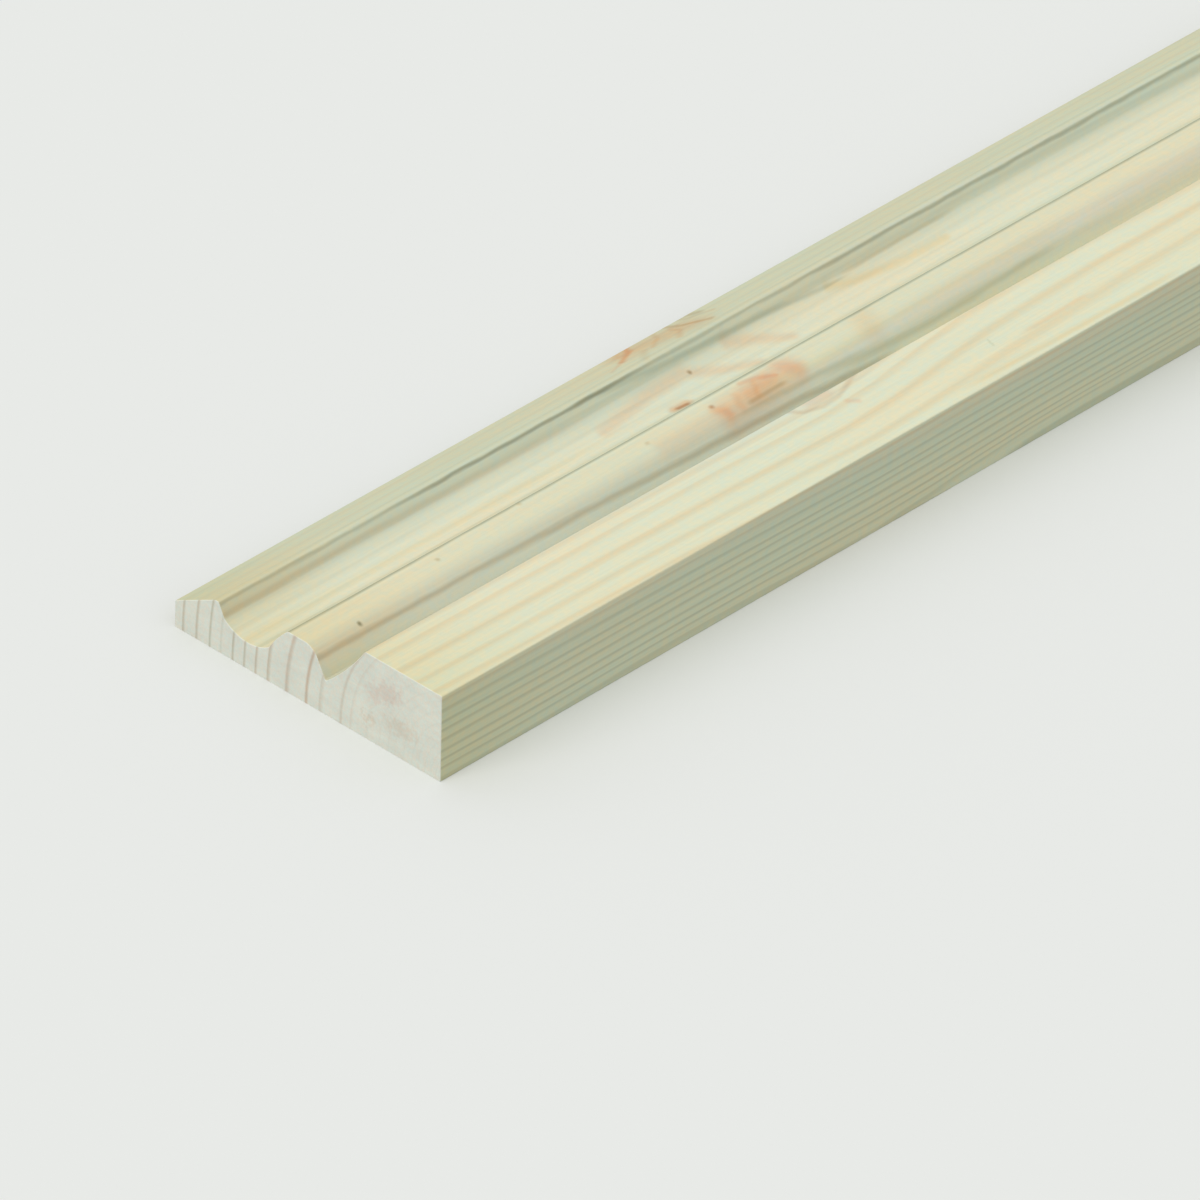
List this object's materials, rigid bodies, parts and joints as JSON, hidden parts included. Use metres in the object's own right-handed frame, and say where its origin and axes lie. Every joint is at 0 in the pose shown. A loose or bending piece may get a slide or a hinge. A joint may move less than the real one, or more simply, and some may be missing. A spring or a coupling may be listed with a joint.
{
  "type": "architrave moulding",
  "caption": "Straight length of softwood architrave with a square outer edge, a flat band, a quirked ovolo, an ogee falling into a cove, and a bevel to a thin inner edge.",
  "frame": {"origin": "middle of the flat back, halfway along the length and across the width", "axes": "+X along the length, +Y across the face from the thick outer edge to the thin inner edge, +Z out of the moulded face"},
  "size_m": [2.1, 0.069, 0.019],
  "materials": {
    "softwood": "planed, unfinished"
  },
  "bodies": {
    "root": {"architrave": "softwood"}
  },
  "joints": []
}
